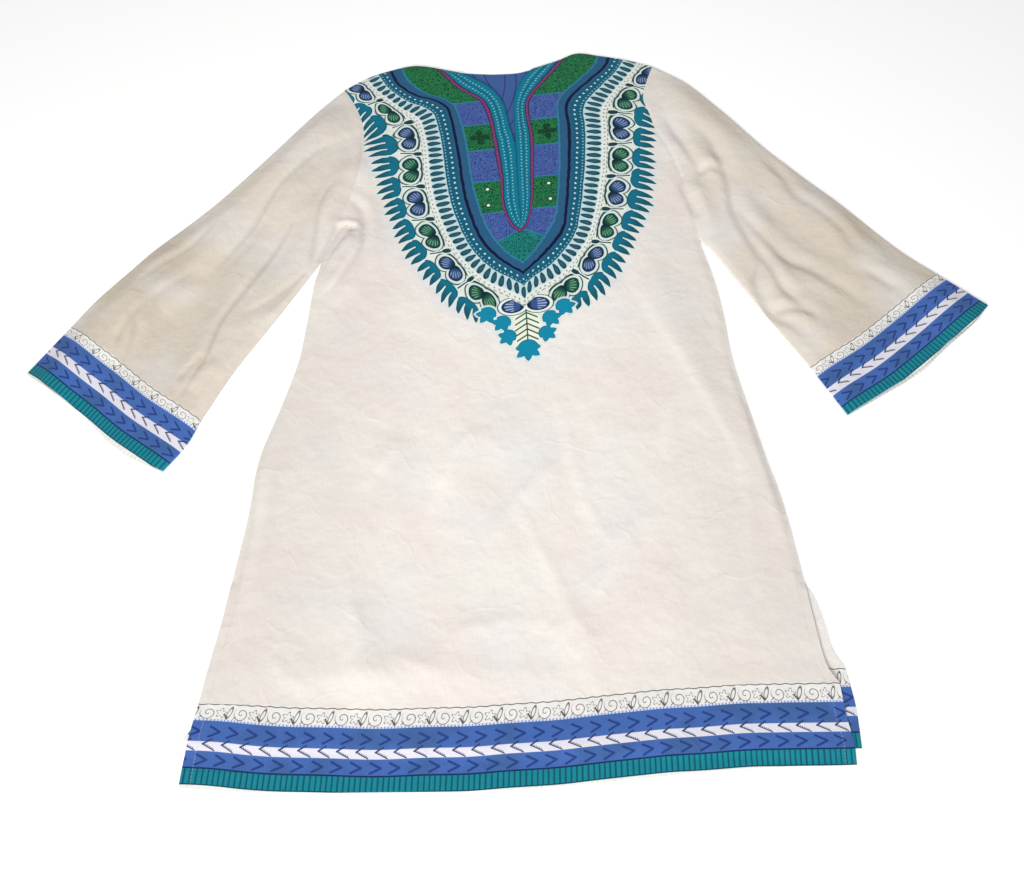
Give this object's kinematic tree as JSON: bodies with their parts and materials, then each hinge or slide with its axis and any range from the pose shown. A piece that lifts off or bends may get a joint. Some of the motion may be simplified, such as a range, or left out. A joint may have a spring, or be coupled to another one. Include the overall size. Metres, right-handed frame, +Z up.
{
  "type": "dashiki dress",
  "caption": "White cotton dashiki tunic dress laid flat, with a notched neck, flared sleeves, side slits and printed borders at hem and cuffs.",
  "frame": {"origin": "on the surface that the dress lies on, under the middle of its box", "axes": "+X across the dress towards the wearer's left sleeve, +Y up the dress from the hem to the neck, +Z up from the surface, out of the front of the dress"},
  "size_m": [1.098, 0.958, 0.0165],
  "materials": {
    "white_cotton": "matte plain-woven white cotton, printed round the neck",
    "printed_border": "matte plain-woven cotton printed in blue, white and teal bands"
  },
  "bodies": {
    "root": {"front_panel": "white_cotton", "back_panel": "white_cotton", "sleeve_left": "white_cotton", "sleeve_right": "white_cotton", "front_hem_border": "printed_border", "back_hem_border": "printed_border", "cuff_border_left": "printed_border", "cuff_border_right": "printed_border"}
  },
  "joints": []
}
